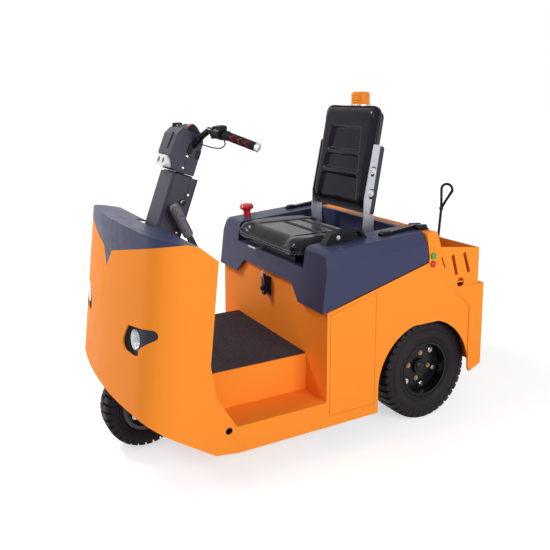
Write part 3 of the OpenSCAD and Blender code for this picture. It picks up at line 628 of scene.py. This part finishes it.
def inward(a, b, radius):
    """Distance in from a rounded outline, from the distances past its straight parts."""
    return radius - np.hypot(np.maximum(a, 0), np.maximum(b, 0)) - np.minimum(np.maximum(a, b), 0)


def rolled(distance, radius):
    """Fall of a rolled edge of that radius."""
    gap = radius - np.clip(distance, 0, radius)
    return radius - np.sqrt(radius ** 2 - gap ** 2)


def seam_height(across):
    """Height of the seam round the cushion, which climbs at the sides."""
    return 729 + 12 * np.clip((across - 165) / 95, 0, 1)


def seat_seams(p, n):
    """Crowned middle with two channels across it, side bolsters, a sunk rear and a rolled rim."""
    up = np.clip((n[:, 2] - 0.2) * 2.5, 0, 1)
    x, across = p[:, 0], np.abs(p[:, 1])
    middle = inside(across, -90, 142, 20)
    crown = 17 * inside(across, -90, 172, 76) * inside(x, -215, 116, 60)
    channels = 11 * middle * (bell(x + 125, 8) + bell(x + 36, 8))
    rear = 9 * middle * inside(x, -262, -170, 22)
    bolsters = 5 * bell(across - 150, 7) * inside(x, -200, 84, 30)
    rim = rolled(inward(across - 212, np.abs(x + 30) - 126, 50), 44) * inside(x, -190, 400, 30)
    q = p.copy()
    q[:, 2] += (crown - (channels + rear + bolsters) - 0.55 * rim) * up
    sides = np.clip(1.2 - np.abs(n[:, 2]) * 1.2, 0, 1)
    q -= n * (3.5 * bell(p[:, 2] - seam_height(across), 3.5) * sides)[:, None]
    return q


def back_seams(p, n):
    """Rolled border round three stacked sunk panels that widen downwards."""
    across, up = np.abs(p[:, 1]), p[:, 2]
    front = np.clip((n[:, 0] - 0.3) * 2.5, 0, 1)
    half = up.max() / 2
    border = rolled(inward(across - 148, np.abs(up - half) - (half - 46), 46), 34)
    wide = 98 + 0.13 * (340 - up)
    sunk = 0
    for low, high in ((232, 330), (147, 212), (-60, 126)):
        sunk = sunk + inside(up, low, high, 20) * inside(across, -90, wide, 24)
    q = p.copy()
    q[:, 0] -= (14 * sunk + 0.7 * border) * front
    return q


cushion = stuffed("seat_cushion_cover", "seat_cushion", (0, 0, 0), 0, 0.010, seat_seams)
stuffed("seat_back_cover", "seat_back", (-204, 0, 872), 10, 0.008, back_seams)

# Pale stitches in two rows, above and below the seam round the cushion's front
STITCH, STITCH_GAP = 6.5, 3.5
CUSHION_HALF_W = 265
cushion_faces = BVHTree.FromPolygons([v.co for v in cushion.data.vertices],
                                     [p.vertices for p in cushion.data.polygons])
s = Shape()
for lift in (-5, 5):
    trail = []
    for t in np.linspace(-1.75, 1.75, 420):
        out = Vector((math.cos(t), math.sin(t), 0))
        spot = Vector((-0.06, 0, 0)) + out * 0.6
        spot.z = (seam_height(abs(CUSHION_HALF_W * math.sin(t))) + lift) * MM
        hit = cushion_faces.ray_cast(spot, -out)[0]
        if hit:
            trail.append(hit * 1000 + out * 0.3)
    gone, start = 0.0, None
    for a, b in zip(trail, trail[1:]):
        gone += (b - a).length
        if start is None and gone > STITCH_GAP:
            start, gone = b, 0.0
        elif start is not None and gone > STITCH:
            s.sweep([start, (start + b) / 2, b], 0.8, 6)
            start, gone = None, 0.0
s.build("seat_stitches", "hood", "seat_leather", THREAD)

# Headlamps: clear dished lens, faceted bowl and bulb, slanted as the cowl is
LAMP_Y, LAMP_Z, LAMP_R = 300, 530, 35.5
lamp_node = nodes["headlamps"]
lamp_faces = BVHTree.FromPolygons([lamp_node.matrix_world @ v.co for v in lamp_node.data.vertices],
                                  [p.vertices for p in lamp_node.data.polygons])


def lamp_front(y, z):
    """How far forward the lamp's solid reaches there."""
    spot = lamp_faces.ray_cast(Vector((2, y * MM, z * MM)), Vector((-1, 0, 0)))[0]
    return spot.x * 1000 if spot else 790


def headlamp(way, lens, bowl, bulb):
    """Adds the lamp of one side to the three pieces."""
    y0 = way * LAMP_Y
    spokes = [(LAMP_R * math.cos(t), LAMP_R * math.sin(t)) for t in arc(40)]
    edge = [lamp_front(y0 + a * 0.97, LAMP_Z + b * 0.97) for a, b in spokes]
    heart = sum(edge) / len(edge)

    def rings(*steps):
        """Rings at a part of the radius, pushed forward."""
        return [[((e - heart) * part + heart + push, y0 + a * part, LAMP_Z + b * part)
                 for (a, b), e in zip(spokes, edge)] for part, push in steps]

    outer = rings((1, -2), (0.98, 0.5), (0.8, 2.5), (0.5, 4.5), (0.2, 5.5), (0.01, 5.6))
    inner = rings((0.01, 2.6), (0.2, 2.5), (0.5, 1.5), (0.8, -0.5), (0.94, -2.5))
    lens.rings(outer + inner, closed=True)
    dish = rings((0.96, -3), (0.9, -9), (0.75, -18), (0.5, -26), (0.25, -30), (0.01, -31))
    shell = rings((0.01, -34), (0.5, -29), (0.97, -10))
    bowl.rings(dish + shell, closed=True)
    bulb.lathe([(0, 0), (7, 0), (7, 12), (4, 17), (0, 18)], (heart - 31, y0, LAMP_Z), AHEAD, 20)
    bulb.lathe([(3, 0), (12, 0), (12, 2), (3, 2)], (heart - 12, y0, LAMP_Z), AHEAD, 20, closed=True)


lens, bowl, bulb = Shape(), Shape(), Shape()
for way in (-1, 1):
    headlamp(way, lens, bowl, bulb)
lens_obj = lens.build("lamp_lenses", "chassis", "lamp_glass")
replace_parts(lens_obj, "headlamps")
bowl.build("lamp_bowls", "chassis", "bare_steel", FACETS, sharp=60)
bulb.build("lamp_bulbs", "chassis", "bare_steel", BRIGHT)

# Warning beacon: fluted amber lens over a bright reflector
BEACON = (-387, -70, 1284)
FLUTE = 10
cx, cy, cz = BEACON
profile = [(44, 8), (44, 12), (42, 14)]
for k in range(4):
    z = 16 + k * FLUTE
    profile += [(41, z), (42.3, z + 2), (42.3, z + 6), (41, z + 8)]
profile += [(42, 56), (38, 62), (30, 65.5), (0.5, 66)]
profile += [(0.5, 62), (24, 62), (32, 59), (37, 54), (38.5, 46), (38.5, 8)]
s = Shape()
circle = [(math.cos(t), math.sin(t)) for t in arc(64)]
s.rings([[(cx + r * a, cy + r * b, cz + z) for a, b in circle] for r, z in profile], closed=True)
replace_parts(s.build("beacon_cover", "hood", "amber_plastic", sharp=60), "beacon_lens")
s = Shape()
s.lathe([(0, 0), (36, 0), (34, 8), (14, 12), (12, 34), (7, 40), (0, 41)], BEACON, UP, 32)
s.build("beacon_lamp", "hood", "bare_steel", BRIGHT)
s = Shape()
for t in arc(3, 0.1):
    out = (math.cos(t), math.sin(t), 0)
    s.screw((cx + 47 * out[0], cy + 47 * out[1], cz - 8), out, 3.5)
s.lathe([(44, -18), (48.5, -18), (48.5, -14), (44, -14)], BEACON, UP, 48, closed=True)
s.lathe([(38, 0), (45, 0), (45.6, 2), (45.6, 6), (45, 8), (38, 8)], BEACON, UP, 48, closed=True)
s.build("beacon_fixings", "hood", "bare_steel", BRIGHT)

# Handlebar grips with coloured chevrons and bright ends, in the column's frame
BAR_BEND = Vector((1, 150, 183))
BAR_GRIP = Vector((-24, 240, 178))
GRIP_RUN = Vector((-0.6, 0.79, -0.1)).normalized()


def on_bar(way, q):
    return column(q.x, way * q.y, q.z)


def chevron(shape, origin, axis, turn, lead, slant):
    """Bent flash on the grip: it runs further along the further it is from its middle."""
    u, v, w = basis(axis)
    rings = []
    for a in np.linspace(-0.8, 0.8, 9):
        out = u * math.cos(turn + a) + v * math.sin(turn + a)
        foot = lead + slant * abs(a)
        corners = ((0, 15), (0, 16.4), (8, 16.4), (8, 15))
        rings.append([origin + w * (foot + e) + out * r for e, r in corners])
    shape.rings(rings)


cover, flashes, ends = Shape(), Shape(), Shape()
for way in (-1, 1):
    root = on_bar(way, BAR_GRIP)
    axis = (on_bar(way, BAR_GRIP + GRIP_RUN * 10) - root).normalized()
    profile = [(12.3, 6), (18, 6), (18, 12), (15.2, 15)]
    for k in range(12):
        d = 18 + k * 9
        profile += [(16, d), (16, d + 5), (15, d + 6), (15, d + 8)]
    profile += [(16.5, 127), (16.5, 131), (12.3, 132)]
    cover.lathe(profile, root, axis, 32, closed=True)
    for k in range(3):
        for turn in range(3):
            chevron(flashes, root, axis, turn * 2 * math.pi / 3 + 0.4, 24 + k * 30, 24)
    ends.lathe([(0, 128), (15, 128), (17, 131), (17, 138), (13, 142), (0, 142)], root, axis, 28)
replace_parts(cover.build("grip_covers", "handlebar", "grip_rubber"), "grips")
flashes.build("grip_flashes", "handlebar", "red_plastic", DARK_RED)
ends.build("grip_ends", "handlebar", "bare_steel", BRIGHT)

# Cable from the head to the hand lever
s = Shape()
route = [(448, 60, 1152), (430, 76, 1146), (418, 105, 1141), (406, 140, 1140),
         (399, 160, 1146), (398, 176, 1160), (412, 186, 1184)]
s.sweep(curve(route), 2.4)
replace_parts(s.build("lever_cable", "handlebar", "black_plastic"), "bar_cable")

# Switch boxes on the bar
s = Shape()
mid = (BAR_BEND + BAR_GRIP) / 2
run = (BAR_GRIP - BAR_BEND).normalized()
lift = Vector((0.35, 0.1, 1)).normalized()
lift = (lift - run * lift.dot(run)).normalized()
deep = run.cross(lift)
for way in (-1, 1):
    box_top = 30 if way > 0 else 12
    # Place along the bar, width, lowest and highest point, half the thickness
    for base, wide, low, high, thick in ((24, 28, 4, box_top, 17), (-4, 14, -22, 22, 20)):
        def block(a, b, h):
            return on_bar(way, mid + run * (base + a) + lift * b + deep * h)

        s.plate(oblong((-wide / 2, low), (wide / 2, high), 6), -thick, thick, 3, block)
s.build("switch_boxes", "handlebar", "black_plastic")


# Control head and column trim, in the column's frame
def through_head(dx=0, dz=0):
    """Places an outline in the column's x and z, thickened along y."""
    return lambda a, b, h: column(a + dx, h, b + dz)


HEAD_Y, COLUMN_Y = 65, 75
KEY = column(-14, COLUMN_Y, -96)
s = Shape()
for y in (-24, 24):
    s.lathe([(0, 0), (10.8, 0), (10.8, 1.5), (8, 0.8), (0, 0.8)], column(80, y, 33), COLUMN_FRONT, 24)
s.build("trim_eyes", "handlebar", "black_plastic")
s = Shape()
s.lathe([(17, 0), (50, 0), (50, 4), (47, 6.5), (17, 6.5)], column(0, 0, 0), COLUMN_UP, 40, closed=True)
s.plate(oblong((-26, -66), (42, 66), 8), -2, 5, 1.5, column)
s.build("column_collar", "chassis", "black_plastic")
s = Shape()
display = [(40, 164), (36, 182), (22, 196), (6, 192), (-34, 158),
           (-40, 128), (-29, 128), (-27, 142), (2, 161)]
s.plate(eased(display, 8), -46, 46, 5, through_head())
s.plate(oblong((10, 92), (30, 130), 6), 63, 70, 2, through_head(-6, -8))
s.plate(oblong((-10, 92), (-32, 128), 6), 56, 66, 2, through_head(0, -20))
s.build("head_display", "handlebar", "black_plastic")
s = Shape()
flash = [(34, 183), (22, 196), (8, 193), (4, 186), (20, 188), (30, 176)]
s.plate(eased(flash, 3), 10, 38, 1.5, through_head(1, 1.6))
s.build("head_flash", "handlebar", "red_plastic")
# Painted shade: a black plate in the groove down the head's front, and black lines in its side slots
s = Shape()
groove_shade = eased([(22, 84), (30, 84), (42, 150), (28, 152)], 5)
s.plate(groove_shade, 0, 3, 1, lambda a, b, h: column(83 + (b - 84) * -0.02 + h, a - 8, b - 4))
for way in (-1, 1):
    s.sweep([column(19, way * HEAD_Y, 12), column(16, way * HEAD_Y, 90)], 0.7, 6)
s.build("head_slot_shade", "handlebar", "black_plastic")
s = Shape()
for way in (-1, 1):
    for x, z in ((17.5, 73), (21, 27)):
        s.screw(column(x, way * HEAD_Y, z), (0, way, 0), 5)
s.build("head_screws", "handlebar", "bare_steel", BRIGHT)
s = Shape()
for x, y, z in ((-24, COLUMN_Y + 5, -64), (-26, COLUMN_Y, -210), (-30, COLUMN_Y, -330)):
    s.screw(column(x, y, z), LEFT, 5)
    s.screw(column(x, -COLUMN_Y, z), (0, -1, 0), 5)
s.lathe([(0, 0), (9, 0), (9, 4), (7, 6), (0, 6)], KEY, LEFT, 24)
s.build("column_screws", "chassis", "bare_steel", BRIGHT)
s = Shape()
for way in (-1, 1):
    s.sweep([column(-18, way * COLUMN_Y, -2), column(-30, way * COLUMN_Y, -360)], 0.7, 6)
s.plate(oblong((-3, -7), (3, 7), 2), 6, 26, 1, lambda a, b, h: column(a - 14, COLUMN_Y + h, b - 96))
s.lathe([(9, 0), (13, 0), (13, 3), (9, 3)], KEY, LEFT, 24, closed=True)
s.build("key_and_seams", "chassis", "black_plastic")

# Bolts of the backrest's brackets, and black plates as painted shade in their slots
BRACKET_Y = 200
BRACKET_BOLTS = ((-255, 1026), (-248, 933))
s = Shape()
for way in (-1, 1):
    for x, z in BRACKET_BOLTS:
        s.bolt((x, way * BRACKET_Y, z), (0, way, 0), 9)
s.bolt((6, 336, 799), LEFT, 6, sides=24)
s.build("seat_bolts", "hood", "bare_steel", BRIGHT)
# Painted shade: thin black plates where the brackets' slots are, standing in for the shadow inside them
s = Shape()
for way in (-1, 1):
    for x, z in BRACKET_BOLTS:
        slot = eased([(x - 8, z - 24), (x + 8, z - 24), (x + 4, z + 18), (x - 12, z + 18)], 7)
        s.plate(slot, BRACKET_Y - 1, BRACKET_Y + 1.2, 0.6, on_side(way))
s.build("bracket_slot_shade", "hood", "black_plastic")

# Painted shade in the side holes: dark cups behind them, and a dark sleeve over the step plate's edge inside
# them, stand in for the shadow there
HOLE_X, HOLE_Z = 517, 199
PLATE_INSIDE = 435
s = Shape()
for way in (-1, 1):
    cup = [(13.2, 0), (16, 0), (16, 46), (0, 48), (0, 45), (13.2, 43)]
    s.lathe(cup, (HOLE_X, way * (PLATE_INSIDE - 0.2), HOLE_Z), (0, -way, 0), 32, closed=True)
    shade_sleeve = [(HOLE_X - 13.2, 201.6), (HOLE_X + 13.2, 201.6), (HOLE_X + 13.2, 207.4), (HOLE_X - 13.2, 207.4)]
    s.plate(shade_sleeve, PLATE_INSIDE - 45.2, PLATE_INSIDE + 0.4, 0.2, on_side(way))
s.build("side_hole_painted_shade", "chassis", "black_plastic")

# Hood latch: rubber strap with a bright hook
s = Shape()
strap = eased([(-11, 508), (11, 508), (15, 540), (15, 572), (9, 598), (-9, 598), (-15, 572), (-15, 540)], 6)
s.plate(strap, 138, 150, 2.5, lambda a, b, h: (h, a, b))
s.lathe([(0, 0), (9, 0), (9, 10), (6, 13), (0, 13)], (148, 0, 538), AHEAD, 20)
s.build("latch_strap", "chassis", "black_plastic")
s = Shape()
hook = [(146, -8, 572), (153, -8, 584), (153, -6, 604), (147, 0, 613),
        (153, 6, 604), (153, 8, 584), (146, 8, 572)]
s.sweep(curve(hook), 1.8, 8)
s.build("latch_hook", "chassis", "bare_steel", BRIGHT)

# Hinges: knobs on the pin, a foot on the hood and two bolts in each arm
HINGE_X, HINGE_Y, HINGE_Z = -350, 360, 813
ARM_SLOPE = 0.078
knobs, feet, bolts = Shape(), Shape(), Shape()
for way in (-1, 1):
    for y in (-26, 26):
        knob = [(0, -4), (9, -4), (10, 0), (9, 6), (5, 9), (0, 9)]
        knobs.lathe(knob, (HINGE_X, way * HINGE_Y + y, HINGE_Z), (0, math.copysign(1, y), 0), 20)
    for x, y in ((-190, -6), (-206, 6)):
        bolts.bolt((x, way * HINGE_Y + y, HINGE_Z - (x + 338) * ARM_SLOPE), (ARM_SLOPE, 0, 1), 4.5)
    foot = eased([(-176, 785), (-222, 789), (-222, 803), (-214, 810), (-184, 808), (-176, 801)], 4)
    feet.plate(foot, HINGE_Y - 15, HINGE_Y + 15, 3, on_side(way))
knobs.build("hinge_knobs", "chassis", "black_plastic")
feet.build("hinge_feet", "hood", "black_plastic")
bolts.build("hinge_bolts", "hood", "bare_steel", BRIGHT)


# Smooth coat on the pull rod and its loop
def rod_loop(a, b):
    """Point in the loop's own plane, which is turned out from the rod."""
    return Vector((-829 + a * 0.5, a * -0.866, 918 + b))


s = Shape()
s.sweep([(-797, 0, 440), (-812, 0, 605), (-829, 0, 793)], 6.4, 16)
bend = [(-24 + 26 * math.cos(t), -31 + 26 * math.sin(t)) for t in np.linspace(0, math.pi, 17)]
loop = [(0, -125), (1, -78), (2, -38)] + bend + [(-50, -38), (-25, -78), (0, -125)]
s.sweep([rod_loop(a, b) for a, b in loop], 6.2, 16)
knot = [(0, -11), (6, -10), (9.6, -5), (10.4, 0), (9.6, 5), (6, 10), (0, 11)]
s.lathe(knot, rod_loop(0, -125), UP, 24)
s.build("pull_rod_coat", "tow_pin", "black_paint", sharp=50)

# Domed caps of the push buttons
for name, z in (("green", 706), ("red", 673)):
    s = Shape()
    s.lathe([(0, -3), (12.4, -3), (12.4, 0), (10, 2.6), (5, 3.8), (0, 4)], (-376, 447, z), LEFT, 32)
    s.build(name + "_button_cap", "chassis", name + "_plastic", sharp=60)

# Battery lids, caps and links under the hood
CELLS, CELL_X, CELL_PITCH, CELL_TOP = 6, -254, 58, 593
lids, caps, links = Shape(), Shape(), Shape()
for i in range(CELLS):
    x = CELL_X + i * CELL_PITCH
    for way in (-1, 1):
        lids.plate(oblong((x, 12 * way), (x + 50, 220 * way), 5), CELL_TOP - 9, CELL_TOP + 1, 2, lying)
        cap = [(0, 0), (14, 0), (14, 6), (11, 9), (0, 9)]
        caps.lathe(cap, (x + 25, 116 * way, CELL_TOP), UP, 20)
    links.plate(oblong((x + 16, -60), (x + 34, 60), 6), CELL_TOP, CELL_TOP + 6, 1.5, lying)
lids.build("battery_lids", "chassis", "battery_case")
caps.build("battery_caps", "chassis", "red_plastic")
links.build("battery_links", "chassis", "bare_steel")


# Floor, world and lights
def seen(tree):
    """1 for the rays that show the background: to the camera, in reflections and through glass."""
    path = tree.nodes.new("ShaderNodeLightPath")
    total = path.outputs["Is Camera Ray"]
    for kind in ("Is Glossy Ray", "Is Transmission Ray"):
        total = math_node(tree, "MAXIMUM", total, path.outputs[kind])
    return total


def make_floor():
    """Pale floor that shows nearly white, more so away from the object, and keeps its shadow."""
    bpy.ops.mesh.primitive_plane_add(size=60, location=(0, 0, 0))
    floor = bpy.context.active_object
    floor.name = "floor"
    m, tree, s = new_material("floor")
    s.inputs["Base Color"].default_value = (0.75, 0.75, 0.75, 1)
    s.inputs["Roughness"].default_value = 0.9
    s.inputs["Emission Color"].default_value = (1, 1, 1, 1)
    away = tree.nodes.new("ShaderNodeVectorMath")
    away.operation = "LENGTH"
    tree.links.new(position(tree), away.inputs[0])
    glow = spread(tree, away.outputs["Value"], 0.58, 0.82, 1.2, 5)
    tree.links.new(math_node(tree, "MULTIPLY", seen(tree), glow), s.inputs["Emission Strength"])
    floor.data.materials.append(m)
    floor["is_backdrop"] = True


def make_world():
    """White where it is seen, and a dimmer light on the object."""
    world = bpy.data.worlds.new("world")
    scene.world = world
    world.use_nodes = True
    tree = world.node_tree
    background = tree.nodes["Background"]
    background.inputs["Color"].default_value = (1, 1, 1, 1)
    tree.links.new(spread(tree, seen(tree), 0.28, 1.0, 0, 1), background.inputs["Strength"])


def area_light(name, place, size, power, target=(0, 0, 0.6)):
    data = bpy.data.lights.new(name, "AREA")
    data.shape = "RECTANGLE"
    data.size, data.size_y = size
    data.energy = power
    light = bpy.data.objects.new(name, data)
    scene.collection.objects.link(light)
    light.location = place
    light.rotation_mode = "QUATERNION"
    light.rotation_quaternion = (Vector(target) - Vector(place)).to_track_quat("-Z", "Y")


make_camera()
make_floor()
make_world()
area_light("key", (-0.3, 4.3, 1.8), (3.0, 2.2), 120)
area_light("fill", (3.5, -0.2, 3.1), (1.2, 1.0), 30)
area_light("top", (2.0, -1.9, 3.2), (0.8, 0.8), 80)

low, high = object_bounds()
